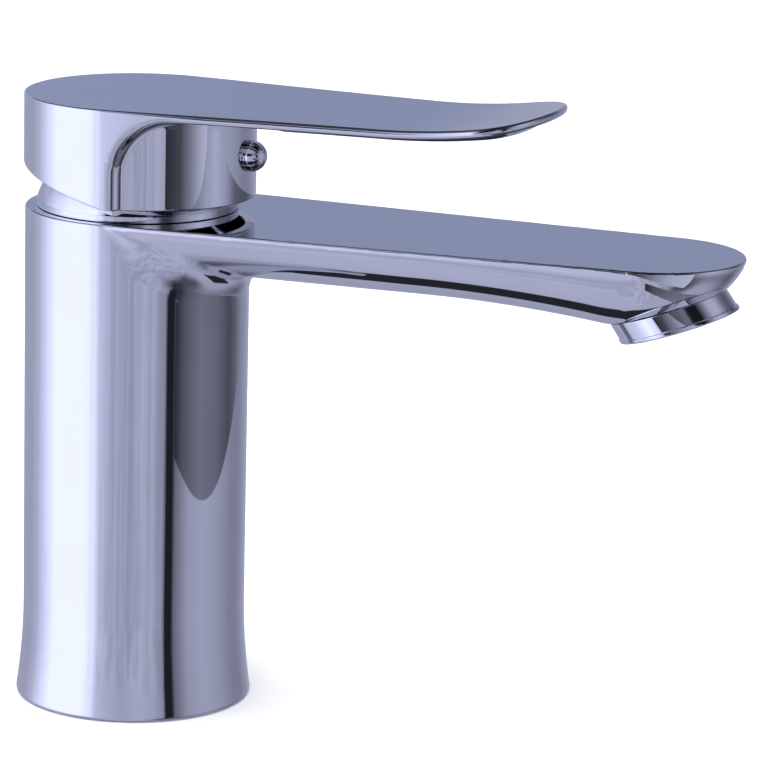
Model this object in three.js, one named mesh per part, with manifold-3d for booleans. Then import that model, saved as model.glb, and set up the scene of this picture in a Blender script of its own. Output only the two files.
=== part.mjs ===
// Single lever basin mixer: a chromed column with a flat topped spout, a flat lever on a round
// hub, a ceramic disc cartridge inside and an aerator under the nose.
// Millimetres, +Z up, +X along the spout. The origin is the centre of the foot, on the deck.
import * as THREE from 'three';
import { mergeVertices } from 'three/addons/utils/BufferGeometryUtils.js';
import { ParametricGeometry } from 'three/addons/geometries/ParametricGeometry.js';
import Module from 'manifold-3d';

const wasm = await Module();
wasm.setup();

// ---- driving dimensions ------------------------------------------------------------------
const GAP = 0.3;                     // air between two pieces that meet

const COLUMN_R = 24.7;
const FOOT_R = 26.35;
const FLARE_HEIGHT = 22;
const BODY_TOP = 110.7;              // flat top of the body and the spout
const COLUMN_WALL = 3.2;

const SPOUT_END_X = 117.7;           // centre of the round end of the spout
const SPOUT_END_R = 19.7;
const SPOUT_DEPTH = 12.7;            // top to underside at mid length

const BLOCK_BOTTOM = 58;             // the waterway block between hose room and cartridge
const CHAMBER_FLOOR = 75;
const CHAMBER_R = 17.9;
const INLET_X = -6;
const INLET_Y = 7;
const PORT_R = 3.4;
const OUTLET_X = 8.5;

const PIVOT_Z = BODY_TOP - 6;        // the stem tilts about this height
const ARM_LENGTH = 12;               // pivot to the ball at the stem's lower end

const HUB_R = 25.5;
const HUB_X = 0.55;
const HUB_BOTTOM = 113.9;
const HUB_RELIEF = 0.25;             // slope of the hub's rear lower edge
const HANDLE_TOP = 135.75;
const HANDLE_WALL = 2.1;
const LEVER_THICKNESS = 1.8;
const LEVER_END_X = 83;              // centre of the elliptical lever end
const LEVER_END_HALF = 19.9;
const LEVER_END_LENGTH = 13.2;
const CURL_START_X = 62;
const CURL = 0.0033;                 // the lever's end rises by CURL * distance squared
const ARCH_CORNER_R = 12.5;
const ARCH_X = 5.3;

const BONNET_R = 22.2;
const SCREW_Z = 123.8;
const PLUG_R = 3.4;

const AERATOR_X = 124.4;             // centre of the mouth
const AERATOR_Z = 95.9;
const AERATOR_TILT = 19.8;           // degrees, the mouth faces forward
const AERATOR_LEAN = 0.29;           // each mm up from the mouth, the neck steps back this much
const AERATOR_R = 13.1;

// ---- materials ---------------------------------------------------------------------------
const finish = (color, roughness, metalness) => new THREE.MeshStandardMaterial({ color, roughness, metalness });
const chrome = finish(0xd4d6e0, 0.06, 1);
const brass = finish(0xc9a35a, 0.35, 1);
const steel = finish(0xb9bcc2, 0.3, 1);
const rubber = finish(0x1c1c1e, 0.85, 0);
const whitePlastic = finish(0xe9e9e4, 0.5, 0);
const greyPlastic = finish(0x7d8288, 0.5, 0);
const ceramic = finish(0xf4f2ec, 0.25, 0);

// ---- solids ------------------------------------------------------------------------------
// A closed three.js geometry as a Manifold, with its faces turned outwards.
function solid(geometry) {
  const bare = geometry.clone();
  bare.deleteAttribute('normal');
  bare.deleteAttribute('uv');
  const merged = mergeVertices(bare, 1e-3);
  const positions = merged.attributes.position;
  const index = merged.index.array;
  const triangles = [];
  const [a, b, c] = [new THREE.Vector3(), new THREE.Vector3(), new THREE.Vector3()];
  let volume = 0;
  for (let i = 0; i < index.length; i += 3) {
    const [p, q, r] = [index[i], index[i + 1], index[i + 2]];
    if (p === q || q === r || r === p) continue;
    triangles.push(p, q, r);
    a.fromBufferAttribute(positions, p);
    b.fromBufferAttribute(positions, q);
    c.fromBufferAttribute(positions, r);
    volume += a.dot(b.cross(c));
  }
  if (volume < 0) {
    for (let i = 0; i < triangles.length; i += 3) {
      [triangles[i], triangles[i + 1]] = [triangles[i + 1], triangles[i]];
    }
  }
  const mesh = new wasm.Mesh({
    numProp: 3,
    vertProperties: new Float32Array(positions.array),
    triVerts: new Uint32Array(triangles),
  });
  return new wasm.Manifold(mesh);
}

// A Manifold as a named three.js mesh.
function piece(name, shape, material) {
  const mesh = shape.getMesh();
  const geometry = new THREE.BufferGeometry();
  geometry.setAttribute('position', new THREE.BufferAttribute(new Float32Array(mesh.vertProperties), 3));
  geometry.setIndex(new THREE.BufferAttribute(new Uint32Array(mesh.triVerts), 1));
  geometry.computeVertexNormals();
  const result = new THREE.Mesh(geometry, material);
  result.name = name;
  return result;
}

// An outline of [radius, height] pairs turned about Z.
function turned(outline, around = 48) {
  const points = outline.map(([r, z]) => new THREE.Vector2(r, z));
  return solid(new THREE.LatheGeometry(points, around).rotateX(Math.PI / 2));
}

function disc(r, low, high, x = 0, y = 0, around = 48) {
  const geometry = new THREE.CylinderGeometry(r, r, high - low, around);
  return solid(geometry.rotateX(Math.PI / 2).translate(x, y, (low + high) / 2));
}

function ring(outer, inner, low, high, around = 48) {
  return turned([[inner, low], [outer, low], [outer, high], [inner, high], [inner, low]], around);
}

function block(low, high) {
  const size = low.map((value, i) => high[i] - value);
  const middle = low.map((value, i) => (high[i] + value) / 2);
  return solid(new THREE.BoxGeometry(...size).translate(...middle));
}

// A cylinder along X.
function rod(r, from, to, z, y = 0, around = 32) {
  const geometry = new THREE.CylinderGeometry(r, r, to - from, around);
  return solid(geometry.rotateZ(Math.PI / 2).translate((from + to) / 2, y, z));
}

// A flat outline in X and Y, thick in Z.
function plate(shape, low, high, curveSegments = 24) {
  const geometry = new THREE.ExtrudeGeometry(shape, { depth: high - low, bevelEnabled: false, curveSegments });
  return solid(geometry.translate(0, 0, low));
}

// A side outline in X and Z, thick in Y.
function slab(shape, half, curveSegments = 16) {
  const geometry = new THREE.ExtrudeGeometry(shape, { depth: 2 * half, bevelEnabled: false, curveSegments });
  return solid(geometry.rotateX(Math.PI / 2).translate(0, half, 0));
}

// ---- body --------------------------------------------------------------------------------
// Half width of the flat top, the hull of the column's circle and the spout's end circle.
const SIDE_INSET = 0.05;             // keeps the spout's sides off the column's own edge lines
const TAPER = (COLUMN_R - SIDE_INSET - SPOUT_END_R) / SPOUT_END_X;

function topHalfWidth(x) {
  const past = x - SPOUT_END_X;
  if (past > SPOUT_END_R * TAPER) {
    return Math.sqrt(Math.max(SPOUT_END_R ** 2 - past ** 2, 0));
  }
  return COLUMN_R - SIDE_INSET - TAPER * x;
}

const NOSE_START = 108;               // from here on the keel rises to the tip

// Depth of the spout's keel under the flat top: shallow at mid length, deep over the aerator.
function keelDepth(x) {
  const swell = 3.4 * Math.max(0, (x - 70) / 45) ** 2;
  const full = SPOUT_DEPTH + Math.min(swell, 3.6);
  const past = Math.max(0, (x - NOSE_START) / (SPOUT_END_X + SPOUT_END_R - NOSE_START));
  return full * Math.max(1 - past ** 2, 0) ** 0.65;
}

// The spout as one closed loft: rings that run along the keel and straight back across the top.
function spoutSolid() {
  const KEEL_STEPS = 14;
  const STATIONS = 22;
  const length = SPOUT_END_X + SPOUT_END_R;
  const rings = (around, along, target) => {
    if (along === 0) {
      target.set(0, 0, BODY_TOP - SPOUT_DEPTH / 2);
      return;
    }
    // the stations close up towards the tip, where the outline turns
    const station = (along * STATIONS - 1) / (STATIONS - 1);
    const x = length * Math.sin(station * Math.PI / 2);
    const turn = Math.min(around, 0.5) * Math.PI * 2;
    const back = Math.max(around - 0.5, 0) * 4;
    const y = around <= 0.5 ? Math.cos(turn) : back - 1;
    target.set(x, topHalfWidth(x) * y, BODY_TOP - keelDepth(x) * Math.max(Math.sin(turn), 0));
  };
  return solid(new ParametricGeometry(rings, 2 * KEEL_STEPS, STATIONS));
}

// The outside of the column, with the flare of the foot.
function columnOutline() {
  const outline = [[0, 0]];
  const STEPS = 6;
  for (let i = 0; i <= STEPS; i++) {
    const z = FLARE_HEIGHT * i / STEPS;
    const flare = (FOOT_R - COLUMN_R) * (1 - z / FLARE_HEIGHT) ** 2;
    outline.push([COLUMN_R + flare, z]);
  }
  outline.push([COLUMN_R, BODY_TOP], [0, BODY_TOP]);
  return outline;
}

// The place of the aerator: its rims stay level with the tilted mouth, and its neck leans back.
function atMouth(shape) {
  const lean = new THREE.Matrix4().makeShear(0, 0, 0, 0, -AERATOR_LEAN, 0);
  return shape.transform(lean.toArray()).rotate([0, -AERATOR_TILT, 0]).translate([AERATOR_X, 0, AERATOR_Z]);
}

function faucetBody() {
  const HOSE_ROOM_R = COLUMN_R - COLUMN_WALL;
  const STUD_X = 12;
  let body = turned(columnOutline()).add(spoutSolid());
  // hose room, with the stud's boss hanging in it
  let room = disc(HOSE_ROOM_R, -1, BLOCK_BOTTOM);
  room = room.subtract(disc(6, 20, BLOCK_BOTTOM + 1, STUD_X, 0, 24));
  body = body.subtract(room);
  body = body.subtract(disc(3.4, 19, 50, STUD_X, 0, 16));
  // groove for the gasket under the foot
  body = body.subtract(ring(24.6, 22.7, -1, 2.2));
  // cartridge chamber, the nut's thread and the mouth that the bonnet fits
  body = body.subtract(disc(CHAMBER_R, CHAMBER_FLOOR, BODY_TOP + 1));
  body = body.subtract(disc(18.9, 98.7, BODY_TOP + 1));
  body = body.subtract(disc(20.9, 106.2, BODY_TOP + 1));
  // two inlet ports
  for (const side of [-1, 1]) {
    body = body.subtract(disc(PORT_R + 1.3, BLOCK_BOTTOM - 1, BLOCK_BOTTOM + 10, INLET_X, side * INLET_Y, 20));
    body = body.subtract(disc(PORT_R, BLOCK_BOTTOM + 5, CHAMBER_FLOOR + 1, INLET_X, side * INLET_Y, 20));
  }
  // outlet: down through the floor, forward, up in front of the chamber and out along the spout
  body = body.subtract(disc(PORT_R, CHAMBER_FLOOR - 7, CHAMBER_FLOOR + 1, OUTLET_X, 0, 20));
  body = body.subtract(block([OUTLET_X, -4, 68], [22, 4, 73]));
  body = body.subtract(block([19.4, -6, 68], [22, 6, 104]));
  body = body.subtract(block([19.4, -9, 102.2], [117, 9, 107.6]));
  // seat of the aerator, square to its tilted axis
  body = body.subtract(atMouth(disc(AERATOR_R + GAP, -20, 4.9)));
  body = body.subtract(atMouth(disc(12.1, 0, 10.4)));
  return body;
}

// ---- handle ------------------------------------------------------------------------------
function leverPlan(inset) {
  const shape = new THREE.Shape();
  const endHalf = LEVER_END_HALF - inset;
  const rear = HUB_R - inset;
  shape.absarc(HUB_X, 0, rear, Math.PI / 2, 3 * Math.PI / 2, false);
  shape.lineTo(LEVER_END_X, -endHalf);
  shape.absellipse(LEVER_END_X, 0, LEVER_END_LENGTH - inset, endHalf, -Math.PI / 2, Math.PI / 2, false, 0);
  shape.closePath();
  return shape;
}

const curlAt = (x) => CURL * Math.max(0, x - CURL_START_X) ** 2;

// The side view of the lever: level top with a rising end, and an arch that springs from the hub.
function leverProfile(thickness) {
  const END = LEVER_END_X + LEVER_END_LENGTH + 2;
  const STEPS = 9;
  const under = HANDLE_TOP - thickness;
  const shape = new THREE.Shape();
  shape.moveTo(-HUB_R - 2, HANDLE_TOP);
  shape.lineTo(-HUB_R - 2, HUB_BOTTOM - 1);
  shape.lineTo(ARCH_X, HUB_BOTTOM - 1);
  shape.lineTo(ARCH_X, under - ARCH_CORNER_R);
  shape.absarc(ARCH_X + ARCH_CORNER_R, under - ARCH_CORNER_R, ARCH_CORNER_R, Math.PI, Math.PI / 2, true);
  for (let i = 0; i <= STEPS; i++) {
    const x = CURL_START_X + (END - CURL_START_X) * i / STEPS;
    shape.lineTo(x, under + curlAt(x));
  }
  for (let i = STEPS; i >= 0; i--) {
    const x = CURL_START_X + (END - CURL_START_X) * i / STEPS;
    shape.lineTo(x, HANDLE_TOP + curlAt(x));
  }
  shape.closePath();
  return shape;
}

// The wedge under the hub's rear edge, cut away so that the handle can tilt back.
function rearRelief() {
  const FAR = 40;
  const start = 3;
  const shape = new THREE.Shape();
  shape.moveTo(start, HUB_BOTTOM);
  shape.lineTo(-FAR, HUB_BOTTOM + HUB_RELIEF * (start + FAR));
  shape.lineTo(-FAR, HUB_BOTTOM - 5);
  shape.lineTo(FAR, HUB_BOTTOM - 5);
  shape.lineTo(FAR, HUB_BOTTOM);
  shape.closePath();
  return slab(shape, FAR);
}

const STEM_HALF = 3.5;
const STEM_TOP = 130;

function leverHandle() {
  const lever = plate(leverPlan(0), HUB_BOTTOM - 1, HANDLE_TOP + 12).intersect(slab(leverProfile(LEVER_THICKNESS), 40));
  const belly = plate(leverPlan(7), HUB_BOTTOM - 1, HANDLE_TOP + 12).intersect(slab(leverProfile(3.4), 40));
  let handle = lever.add(belly);
  handle = handle.add(disc(HUB_R, HUB_BOTTOM - 1, HANDLE_TOP - 1, HUB_X));
  handle = handle.subtract(rearRelief());
  // hollow hub, with a socket for the stem and a tunnel for the screw
  const roof = HANDLE_TOP - 4.5;
  let hollow = disc(HUB_R - HANDLE_WALL, HUB_BOTTOM - 2, roof, HUB_X);
  hollow = hollow.subtract(disc(7, 121.5, roof + 1, 0, 0, 32));
  hollow = hollow.subtract(rod(4.4, 0, HUB_R + 2, SCREW_Z));
  handle = handle.subtract(hollow);
  const socket = STEM_HALF + GAP;
  handle = handle.subtract(block([-socket, -socket, PIVOT_Z + 10], [socket, socket, STEM_TOP + GAP]));
  handle = handle.subtract(rod(2.8, 2, 40, SCREW_Z, 0, 20));
  handle = handle.subtract(rod(PLUG_R - 0.2, 21, 40, SCREW_Z, 0, 24));
  return handle;
}

function setScrew() {
  const TIP_X = STEM_HALF + GAP;
  const END_X = 12;
  const thread = rod(2.5, TIP_X, END_X, SCREW_Z, 0, 20);
  const key = new THREE.CylinderGeometry(1.45, 1.45, 3, 6).rotateZ(Math.PI / 2);
  return thread.subtract(solid(key.translate(END_X, 0, SCREW_Z)));
}

// A domed button: shank in the hub, rim and half ball outside.
function indexPlug() {
  const CENTRE_X = 26.65;
  const SHANK_R = PLUG_R - 0.5;
  const outline = [[0, -4.5], [SHANK_R, -4.5], [SHANK_R, -0.4], [PLUG_R, -0.4]];
  const STEPS = 7;
  for (let i = 0; i <= STEPS; i++) {
    const turn = Math.PI / 2 * i / STEPS;
    outline.push([PLUG_R * Math.cos(turn), PLUG_R * Math.sin(turn)]);
  }
  outline[outline.length - 1][0] = 0;
  return turned(outline, 24).rotate([0, 90, 0]).translate([CENTRE_X, 0, SCREW_Z]);
}

// ---- bonnet and cartridge ----------------------------------------------------------------
// A band on the flat top, then a dome round the pivot, which the hub tilts over.
function bonnetCollar() {
  const BAND_BOTTOM = BODY_TOP + GAP;
  const BAND_TOP = BODY_TOP + 1.5;
  const DOME_TOP = BODY_TOP + 6.8;
  const SPIGOT_R = 20.5;
  const WALL = 1.5;
  const MOUTH_R = 14.5;
  const sphere = Math.hypot(BONNET_R, BAND_TOP - PIVOT_Z);
  const outline = [[SPIGOT_R - WALL, BODY_TOP - 3.6], [SPIGOT_R, BODY_TOP - 3.6]];
  outline.push([SPIGOT_R, BAND_BOTTOM], [BONNET_R, BAND_BOTTOM]);
  const STEPS = 4;
  for (let i = 0; i <= STEPS; i++) {
    const z = BAND_TOP + (DOME_TOP - BAND_TOP) * i / STEPS;
    outline.push([Math.sqrt(sphere ** 2 - (z - PIVOT_Z) ** 2), z]);
  }
  outline.push([MOUTH_R, DOME_TOP], [MOUTH_R, DOME_TOP - WALL]);
  outline.push([SPIGOT_R - WALL - 1.4, DOME_TOP - WALL], [SPIGOT_R - WALL, BAND_TOP]);
  outline.push(outline[0]);
  const collar = turned(outline);
  return collar.subtract(ring(SPIGOT_R + 1, SPIGOT_R - 0.8, BODY_TOP - 2.4, BODY_TOP - 1.2));
}

function bonnetSeal() {
  return ring(20.7, 19.95, BODY_TOP - 2.2, BODY_TOP - 1.4);
}

function cartridgeNut() {
  const LOW = 100.5;
  const HIGH = 106.8;
  const nut = turned([[12.6, LOW], [18.6, LOW], [18.6, HIGH - 1.6], [17.4, HIGH], [12.6, HIGH], [12.6, LOW]]);
  let result = nut;
  for (const turn of [0, 90]) {
    result = result.subtract(block([-20, -2, HIGH - 2.4], [20, 2, HIGH + 1]).rotate([0, 0, turn + 45]));
  }
  return result;
}

function thrustWasher() {
  return ring(17.3, 12.7, 99.3, 100.2);
}

// The ports through the cartridge's foot and its fixed disc.
function portHoles(low, high, r) {
  let holes = disc(r, low, high, OUTLET_X, 0, 20);
  for (const side of [-1, 1]) {
    holes = holes.add(disc(r, low, high, INLET_X, side * INLET_Y, 20));
  }
  return holes;
}

const SEAL_R = 4.7;

function cartridgeBase() {
  const LOW = CHAMBER_FLOOR + GAP;
  const HIGH = 79.4;
  let base = disc(17.4, LOW, HIGH).subtract(portHoles(LOW - 1, HIGH + 1, PORT_R - 0.4));
  base = base.subtract(portHoles(LOW - 1, LOW + 1.3, SEAL_R + 0.2));
  return base;
}

function portSeal(x, y) {
  return ring(SEAL_R, PORT_R, CHAMBER_FLOOR + 0.2, CHAMBER_FLOOR + 1.4, 24).translate([x, y, 0]);
}

function fixedDisc() {
  return disc(14.6, 79.7, 82.8).subtract(portHoles(79, 84, PORT_R - 0.2));
}

// Its underside carries the mixing pocket that joins the ports.
function movingDisc() {
  const pocket = disc(5.5, 82, 84.8, -1.5, 0, 24);
  return disc(11, 83.1, 86.2).subtract(pocket);
}

function discDriver() {
  const BALL_Z = PIVOT_Z - ARM_LENGTH;
  const driver = disc(11, 86.5, 91).add(block([-6.5, -5.2, 90], [6.5, 5.2, 94.2]));
  return driver.subtract(block([-3.4, -3.4, BALL_Z - 4], [3.4, 3.4, 96]));
}

function cartridgeHousing() {
  const LOW = 79.7;
  const ROOF = 97.5;
  const TOP = 99;
  const NECK_TOP = 107.6;
  const outline = [[15.9, LOW], [17.4, LOW], [17.4, TOP], [12.2, TOP], [12.2, NECK_TOP], [10.4, NECK_TOP]];
  outline.push([10.4, ROOF], [15.9, ROOF], [15.9, LOW]);
  return turned(outline);
}

function spindleRotor() {
  const BOTTOM = 94.6;
  const FLANGE_TOP = 97.2;
  const TOP = 108;
  let rotor = turned([[0, BOTTOM], [15.5, BOTTOM], [15.5, FLANGE_TOP], [10.1, FLANGE_TOP], [10.1, TOP], [0, TOP]]);
  // the slot that the stem swings in, open above and below
  rotor = rotor.subtract(block([-8.6, -3.3, BOTTOM - 1], [8.6, 3.3, TOP + 1]));
  return rotor.subtract(solid(new THREE.CylinderGeometry(1.6, 1.6, 30, 16).translate(0, 0, PIVOT_Z)));
}

function pivotPin() {
  return solid(new THREE.CylinderGeometry(1.5, 1.5, 19.4, 16).translate(0, 0, PIVOT_Z));
}

// Square shank above, flat cheeks at the pin and a ball end that pushes the disc driver.
function cartridgeStem() {
  const cheek = 2.9;
  const shank = block([-STEM_HALF, -STEM_HALF, PIVOT_Z + 5.2], [STEM_HALF, STEM_HALF, STEM_TOP]);
  let stem = shank.add(block([-4, -cheek, PIVOT_Z - 4], [4, cheek, PIVOT_Z + 6]));
  stem = stem.add(disc(1.9, PIVOT_Z - ARM_LENGTH, PIVOT_Z - 3, 0, 0, 16));
  stem = stem.add(solid(new THREE.SphereGeometry(3, 16, 10).translate(0, 0, PIVOT_Z - ARM_LENGTH)));
  return stem.subtract(solid(new THREE.CylinderGeometry(1.75, 1.75, 20, 16).translate(0, 0, PIVOT_Z)));
}

// ---- aerator -----------------------------------------------------------------------------
// Local frame: the mouth is at z = 0 and the thread goes up to +Z.
function aeratorHousing() {
  const NECK_R = 12.8;
  const outline = [[11.2, 0], [AERATOR_R - 0.3, 0], [AERATOR_R, 0.4], [NECK_R, 4.6], [11.8, 4.6], [11.8, 8.6]];
  outline.push([10.6, 8.6], [10.6, 1.4], [11.2, 1.4], [11.2, 0]);
  return turned(outline);
}

function aeratorWasher() {
  return ring(11.7, 9.2, 8.9, 9.4);
}

// A disc with a honeycomb of square cells, seen from below as the jet straightener.
function aeratorInsert() {
  const CELL = 2.4;
  const WEB = 0.7;
  let insert = disc(10.3, 1.8, 6.4);
  for (let column = -3; column <= 3; column++) {
    for (let row = -3; row <= 3; row++) {
      const x = column * (CELL + WEB);
      const y = row * (CELL + WEB);
      if (Math.hypot(x, y) + CELL * 0.75 > 9.6) continue;
      const half = CELL / 2;
      insert = insert.subtract(block([x - half, y - half, 0], [x + half, y + half, 8]));
    }
  }
  return insert;
}

function aeratorStrainer() {
  return turned([[8.6, 6.7], [10.3, 6.7], [10.3, 8.2], [9.0, 8.2], [3, 9.6], [3, 9.0], [8.6, 7.4], [8.6, 6.7]], 32);
}

// ---- foot --------------------------------------------------------------------------------
function baseGasket() {
  return ring(24.3, 23.0, 0, 1.9);
}

function baseInsert() {
  let insert = disc(21.2, 0, 4);
  for (const side of [-1, 1]) {
    insert = insert.subtract(disc(6, -1, 5, -5, side * 10, 28));
  }
  return insert.subtract(disc(4.5, -1, 5, 12, 0, 24));
}

// ---- assembly ----------------------------------------------------------------------------
const faucet = new THREE.Group();
faucet.add(piece('faucet_body', faucetBody(), chrome));
faucet.add(piece('base_gasket', baseGasket(), rubber));
faucet.add(piece('base_insert', baseInsert(), whitePlastic));
faucet.add(piece('bonnet_collar', bonnetCollar(), chrome));
faucet.add(piece('bonnet_seal', bonnetSeal(), rubber));
faucet.add(piece('cartridge_nut', cartridgeNut(), brass));
faucet.add(piece('thrust_washer', thrustWasher(), whitePlastic));

const cartridge = new THREE.Group();
cartridge.add(piece('cartridge_housing', cartridgeHousing(), greyPlastic));
cartridge.add(piece('cartridge_base', cartridgeBase(), greyPlastic));
cartridge.add(piece('inlet_seal_left', portSeal(INLET_X, INLET_Y), rubber));
cartridge.add(piece('inlet_seal_right', portSeal(INLET_X, -INLET_Y), rubber));
cartridge.add(piece('outlet_seal', portSeal(OUTLET_X, 0), rubber));
cartridge.add(piece('fixed_disc', fixedDisc(), ceramic));
cartridge.add(piece('moving_disc', movingDisc(), ceramic));
cartridge.add(piece('disc_driver', discDriver(), whitePlastic));
cartridge.add(piece('spindle_rotor', spindleRotor(), whitePlastic));
cartridge.add(piece('stem_pivot_pin', pivotPin(), steel));
cartridge.add(piece('cartridge_stem', cartridgeStem(), brass));
faucet.add(cartridge);

const handle = new THREE.Group();
handle.add(piece('lever_handle', leverHandle(), chrome));
handle.add(piece('handle_set_screw', setScrew(), steel));
handle.add(piece('index_plug', indexPlug(), chrome));
faucet.add(handle);

faucet.add(piece('aerator_housing', atMouth(aeratorHousing()), chrome));
faucet.add(piece('aerator_washer', atMouth(aeratorWasher()), rubber));
faucet.add(piece('aerator_insert', atMouth(aeratorInsert()), whitePlastic));
faucet.add(piece('aerator_strainer', atMouth(aeratorStrainer()), steel));

export default faucet;
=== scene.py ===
# %% [markdown]
# # A single lever basin mixer, in chrome
# The tap stands on its round foot. +X runs along the spout, +Z up the column, in metres.
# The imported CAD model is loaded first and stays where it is: it is the frame for everything here.
# Chrome is a mirror, so what is seen on it is the room. Two things matter most: normals without
# ripples, and a studio whose bright and dark areas stand in the right directions.

# %% Load the frame
import math

import bpy
import numpy as np
from mathutils import Matrix, Vector


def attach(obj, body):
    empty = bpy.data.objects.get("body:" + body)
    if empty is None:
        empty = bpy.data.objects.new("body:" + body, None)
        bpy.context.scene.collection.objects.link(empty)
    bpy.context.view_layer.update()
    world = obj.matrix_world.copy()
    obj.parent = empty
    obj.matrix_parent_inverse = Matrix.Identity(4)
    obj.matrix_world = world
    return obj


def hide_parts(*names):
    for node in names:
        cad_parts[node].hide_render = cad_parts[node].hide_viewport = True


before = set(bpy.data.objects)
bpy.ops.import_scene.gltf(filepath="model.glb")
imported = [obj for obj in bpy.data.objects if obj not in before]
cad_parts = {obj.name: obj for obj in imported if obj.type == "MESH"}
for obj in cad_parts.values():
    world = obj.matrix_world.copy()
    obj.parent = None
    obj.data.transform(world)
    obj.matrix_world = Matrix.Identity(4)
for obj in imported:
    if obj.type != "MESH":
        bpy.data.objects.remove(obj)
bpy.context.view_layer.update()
print("CAD nodes:", len(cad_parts))

# %% [markdown]
# ## Camera
# A long lens, a little above the tap and turned to its right side. The numbers are in millimetres
# and degrees: the point the camera faces, where it stands round that point, and its slight roll.
# The lens is shifted a little, because the tap doesn't stand in the middle of the view.

# %% Camera
MM = 0.001
CAMERA_TARGET = (55.0, 0.0, 70.0)
CAMERA_AZIMUTH = 20.065
CAMERA_ELEVATION = 13.837
CAMERA_ROLL = 1.378
CAMERA_DISTANCE = 916.99
LENS = 197.8
LENS_SHIFT = (0.01995, 0.0349)


def make_camera():
    azimuth = math.radians(CAMERA_AZIMUTH)
    elevation = math.radians(CAMERA_ELEVATION)
    roll = math.radians(CAMERA_ROLL)
    back = Vector((math.sin(azimuth) * math.cos(elevation),
                   -math.cos(azimuth) * math.cos(elevation),
                   math.sin(elevation)))
    level = Vector((math.cos(azimuth), math.sin(azimuth), 0))
    upright = back.cross(level)
    right = level * math.cos(roll) + upright * math.sin(roll)
    up = upright * math.cos(roll) - level * math.sin(roll)
    turned = Matrix((right, up, back)).transposed().to_4x4()
    data = bpy.data.cameras.new("camera")
    data.sensor_width = 36
    data.lens = LENS
    data.shift_x, data.shift_y = LENS_SHIFT
    data.clip_start = 0.05
    camera = bpy.data.objects.new("camera", data)
    place = (Vector(CAMERA_TARGET) + back * CAMERA_DISTANCE) * MM
    camera.matrix_world = Matrix.Translation(place) @ turned
    bpy.context.scene.collection.objects.link(camera)
    bpy.context.scene.camera = camera
    print("camera at", [round(c, 3) for c in place])


make_camera()
bpy.context.scene.view_settings.view_transform = "Standard"

# %% [markdown]
# ## Formulas for solids
# The body and the handle are mirror bright, so a mesh that only comes close would show dents.
# They are described by formulas instead: a function of x, y and z in millimetres that is negative
# inside, about the distance to the surface outside. Joining two is a minimum, cutting is a
# maximum, and a rounded minimum or maximum puts a true fillet or a rounded edge between them.

# %% Formula helpers
def distance(formula):
    """The same surface, with the formula scaled so that it grows by 1 per mm."""
    STEP = 0.02

    def scaled(x, y, z):
        value = formula(x, y, z)
        slope = np.zeros_like(value)
        for dx, dy, dz in np.eye(3) * STEP:
            slope += (formula(x + dx, y + dy, z + dz) - formula(x - dx, y - dy, z - dz)) ** 2
        return value / np.maximum(np.sqrt(slope) / (2 * STEP), 1e-3)
    return scaled


def soft_union(a, b, reach):
    """Two solids in one, with a fillet that starts where they are reach apart."""
    near = np.maximum(reach - np.abs(a - b), 0)
    return np.minimum(a, b) - near ** 2 / (4 * reach)


def round_cut(a, b, radius):
    """What two solids share, with its edge rounded to this radius."""
    corner = np.hypot(np.maximum(a + radius, 0), np.maximum(b + radius, 0))
    return np.minimum(np.maximum(a, b), -radius) + corner


def upright_hole(x, y, z, radius, bottom):
    """A round hole about the column's axis, open at its top."""
    return np.maximum(np.hypot(x, y) - radius, bottom - z)


# %% [markdown]
# ## From a formula to a mesh
# A grid of points is laid over the solid. Each cell that the surface crosses gets one vertex, and
# each grid edge that it crosses gets one face between the four cells around it. The vertices then
# slide along the formula's gradient until they lie on the surface. Where neighbours' normals
# differ, as on a rounded edge, the faces are split and the new points slide down as well. The
# gradient also gives each vertex its normal, so the shading follows the formula, not the facets.

# %% Grid mesher
def surface_net(formula, low, high, pitch):
    """Vertices and triangles of the formula's zero surface on a grid."""
    axes = [np.arange(a - pitch, b + 2 * pitch, pitch) for a, b in zip(low, high)]
    x, y, z = np.meshgrid(*axes, indexing="ij")
    value = formula(x, y, z)
    cells = tuple(n - 1 for n in value.shape)
    total = np.zeros(cells + (3,))
    count = np.zeros(cells)
    crossings = []
    for axis in range(3):
        lower = np.take(value, range(value.shape[axis] - 1), axis)
        upper = np.take(value, range(1, value.shape[axis]), axis)
        crossed = (lower < 0) != (upper < 0)
        crossings.append((crossed, lower < 0))
        share = np.where(crossed, lower / np.where(crossed, lower - upper, 1), 0)
        place = np.stack(np.indices(crossed.shape), -1).astype(float)
        place[..., axis] += share
        first, second = (axis + 1) % 3, (axis + 2) % 3
        for i in (0, 1):
            for j in (0, 1):
                window = [slice(None)] * 3
                window[first] = slice(i, i + cells[first])
                window[second] = slice(j, j + cells[second])
                hit = crossed[tuple(window)]
                total += place[tuple(window)] * hit[..., None]
                count += hit
    active = count > 0
    number = np.full(cells, -1)
    number[active] = np.arange(active.sum())
    origin = np.array([a[0] for a in axes])
    points = total[active] / count[active][:, None] * pitch + origin
    quads = []
    for axis, (crossed, starts_inside) in enumerate(crossings):
        first, second = (axis + 1) % 3, (axis + 2) % 3
        at = np.argwhere(crossed)
        corners = []
        for i, j in ((1, 1), (0, 1), (0, 0), (1, 0)):
            cell = at.copy()
            cell[:, first] -= i
            cell[:, second] -= j
            corners.append(number[tuple(cell.T)])
        quad = np.stack(corners, 1)
        inward = ~starts_inside[tuple(at.T)]
        quad[inward] = quad[inward][:, ::-1]
        quads.append(quad)
    quads = np.concatenate(quads)
    triangles = np.concatenate([quads[:, [0, 1, 2]], quads[:, [0, 2, 3]]])
    return points, triangles


# %% Gradient and projection
def gradient(formula, points):
    STEP = 0.01
    columns = []
    for step in np.eye(3) * STEP:
        ahead = formula(*(points + step).T)
        behind = formula(*(points - step).T)
        columns.append((ahead - behind) / (2 * STEP))
    return np.stack(columns, 1)


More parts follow.
